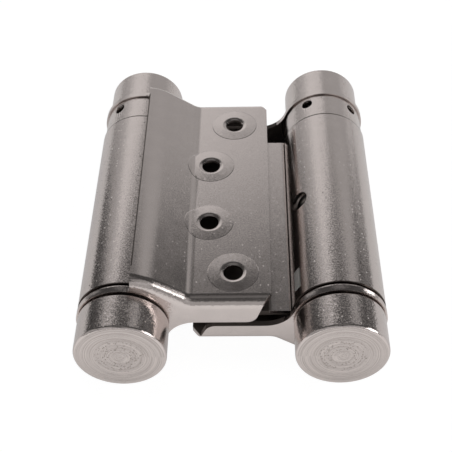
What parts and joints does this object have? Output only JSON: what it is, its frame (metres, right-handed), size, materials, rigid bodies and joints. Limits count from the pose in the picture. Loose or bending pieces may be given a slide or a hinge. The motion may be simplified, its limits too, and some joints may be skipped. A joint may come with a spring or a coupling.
{
  "type": "double action spring hinge",
  "caption": "Double action spring hinge for a swing door: two spring barrels on a centre leaf, each with a folded screw-on leaf.",
  "frame": {"origin": "under the middle of the closed hinge, level with the free edge of the back leaf that it lies on", "axes": "+Y along the barrels towards the tension collars, +Z out of the front leaf, +X from the left barrel to the right"},
  "size_m": [0.0586, 0.0764, 0.0225],
  "materials": {
    "nickel": "satin nickel plate",
    "steel": "plain turned steel",
    "spring_steel": "oiled spring steel"
  },
  "bodies": {
    "centre": {"centre_leaf": "nickel", "left_spring_plug": "steel", "right_spring_plug": "steel", "left_torsion_spring": "spring_steel", "right_torsion_spring": "spring_steel"},
    "front": {"front_leaf": "nickel", "left_spindle": "steel", "left_near_cap": "nickel", "left_far_cap": "nickel", "left_near_washer": "nickel"},
    "back": {"back_leaf": "nickel", "right_spindle": "steel", "right_near_cap": "nickel", "right_far_cap": "nickel", "right_near_washer": "nickel"},
    "left_collar": {"left_tension_collar": "nickel", "left_far_washer": "steel"},
    "right_collar": {"right_tension_collar": "nickel", "right_far_washer": "steel"}
  },
  "joints": [
    {"name": "front_leaf_swing", "type": "hinge", "parent": "centre", "child": "front", "pos_m": [-0.0204, 0, 0.01127], "axis": [0, -1, 0], "range_deg": [0, 180], "stiffness_Nm_per_rad": 0.25, "springref_deg": -28.65},
    {"name": "back_leaf_swing", "type": "hinge", "parent": "centre", "child": "back", "pos_m": [0.0204, 0, 0.01127], "axis": [0, -1, 0], "range_deg": [0, 180], "stiffness_Nm_per_rad": 0.25, "springref_deg": -28.65},
    {"name": "left_collar_turn", "type": "hinge", "parent": "centre", "child": "left_collar", "pos_m": [-0.0204, 0, 0.01127], "axis": [0, -1, 0], "range_deg": [0, 180], "deforming": ["left_torsion_spring"]},
    {"name": "right_collar_turn", "type": "hinge", "parent": "centre", "child": "right_collar", "pos_m": [0.0204, 0, 0.01127], "axis": [0, -1, 0], "range_deg": [0, 180], "deforming": ["right_torsion_spring"]}
  ]
}
